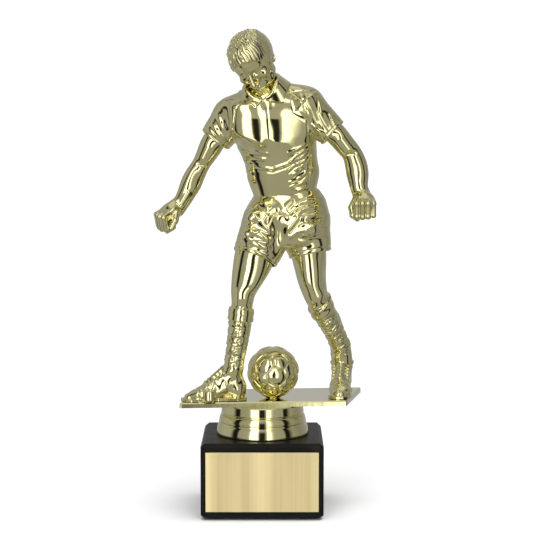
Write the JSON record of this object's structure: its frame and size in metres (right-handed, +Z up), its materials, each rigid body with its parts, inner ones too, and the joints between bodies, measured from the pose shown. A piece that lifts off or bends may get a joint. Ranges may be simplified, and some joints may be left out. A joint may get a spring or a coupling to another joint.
{
  "type": "figure trophy",
  "caption": "Gold-finish footballer with a ball on a plate and stepped round collar, rod-clamped to a drilled black stone block with a blank engraving plate.",
  "frame": {"origin": "centre of the stone block's footprint, on the threaded rod's axis, in the plane the four feet stand on", "axes": "+Z up along the rod; the engraving plate faces -Y; +X is to the viewer's right when reading the plate"},
  "size_m": [0.0933, 0.0522, 0.2028],
  "materials": {
    "stone": "black marble, honed to a satin sheen, faint grey veining",
    "pad": "matt black foam rubber, self-adhesive",
    "plaque_metal": "gold anodised sheet, satin with a fine brushed grain, left blank",
    "tape": "double-sided adhesive film",
    "rod_steel": "bright zinc-plated steel thread",
    "nut_steel": "bright zinc-plated steel",
    "gold_figure": "vacuum-metallised polystyrene, mirror-bright pale lemon gold under clear lacquer",
    "gold_collar": "vacuum-metallised polystyrene, mirror-bright pale lemon gold under clear lacquer",
    "gold_plate": "vacuum-metallised polystyrene, mirror-bright pale lemon gold under clear lacquer",
    "gold_ball": "vacuum-metallised polystyrene, mirror-bright pale lemon gold under clear lacquer",
    "gold_skin": "vacuum-metallised polystyrene, mirror-bright pale lemon gold under clear lacquer"
  },
  "bodies": {
    "base": {"stone_block": "stone", "foot_pad_front_left": "pad", "foot_pad_front_right": "pad", "foot_pad_rear_left": "pad", "foot_pad_rear_right": "pad", "plaque": "plaque_metal", "plaque_tape": "tape"},
    "figure": {"threaded_rod": "rod_steel", "captive_nut": "nut_steel", "collar": "gold_collar", "stage_plate": "gold_plate", "ball_front_half": "gold_ball", "ball_back_half": "gold_ball", "torso_front_shell": "gold_figure", "torso_back_shell": "gold_figure", "head": "gold_skin", "right_arm": "gold_skin", "left_arm": "gold_skin", "right_leg": "gold_skin", "left_leg": "gold_skin"},
    "washer": {"clamp_washer": "nut_steel"},
    "nut": {"clamp_nut": "nut_steel"}
  },
  "joints": [
    {"name": "figure_turn", "type": "hinge", "parent": "base", "child": "figure", "pos_m": [0, 0, 0.032], "axis": [0, 0, 1], "continuous": true},
    {"name": "washer_drop", "type": "slide", "parent": "base", "child": "washer", "axis": [0, 0, -1], "range_m": [0, 0.006]},
    {"name": "nut_spin", "type": "hinge", "parent": "washer", "child": "nut", "pos_m": [0, 0, 0.01], "axis": [0, 0, -1], "range_deg": [0, 2164]}
  ],
  "couplings": [
    {"joint": "nut_spin", "follows": "washer_drop", "rad_per_m": 6283.2}
  ]
}
